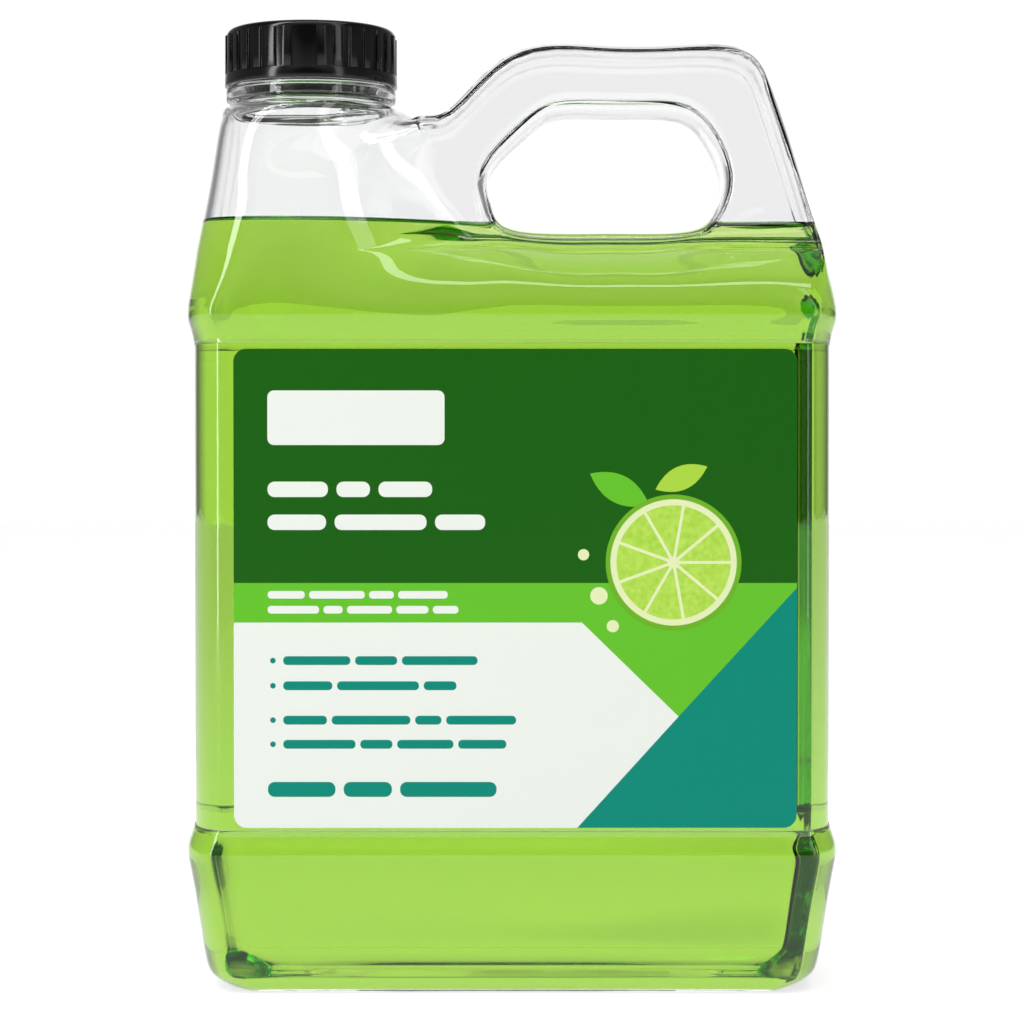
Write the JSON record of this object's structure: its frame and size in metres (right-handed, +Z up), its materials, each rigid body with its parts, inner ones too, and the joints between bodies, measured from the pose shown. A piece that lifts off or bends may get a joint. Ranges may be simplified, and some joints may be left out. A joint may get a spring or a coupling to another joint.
{
  "type": "hand soap refill pack",
  "caption": "Clear blown refill bottle with a hollow carrying handle, filled with liquid soap, film labels front and back, and a ribbed screw cap with a sealing liner.",
  "frame": {"origin": "centre of the bounding box's bottom face, on the surface that the pack stands on", "axes": "+Z up along the longest extent, +Y through the pack from the front label to the back label, +X from the neck's side to the handle's side"},
  "size_m": [0.129, 0.0584, 0.1917],
  "materials": {
    "bottle_plastic": "clear glossy blown PET, about 1 mm thick",
    "liquid_soap": null,
    "label_film": "printed plastic film, satin gloss",
    "cap_plastic": "glossy black moulded plastic",
    "liner": "matte dark foam disc"
  },
  "bodies": {
    "filled_bottle": {"bottle": "bottle_plastic", "soap": "liquid_soap", "front_label": "label_film", "back_label": "label_film"},
    "liner": {"cap_liner": "liner"},
    "cap": {"screw_cap": "cap_plastic"}
  },
  "joints": [
    {"name": "cap_lift", "type": "slide", "parent": "filled_bottle", "child": "liner", "axis": [0, 0, 1], "range_m": [0, 0.017]},
    {"name": "cap_turn", "type": "hinge", "parent": "liner", "child": "cap", "pos_m": [-0.0409, 0, 0.186], "axis": [0, 0, 1], "range_deg": [0, 1440]}
  ],
  "couplings": [
    {"joint": "cap_lift", "follows": "cap_turn", "m_per_rad": 0.00067376}
  ]
}
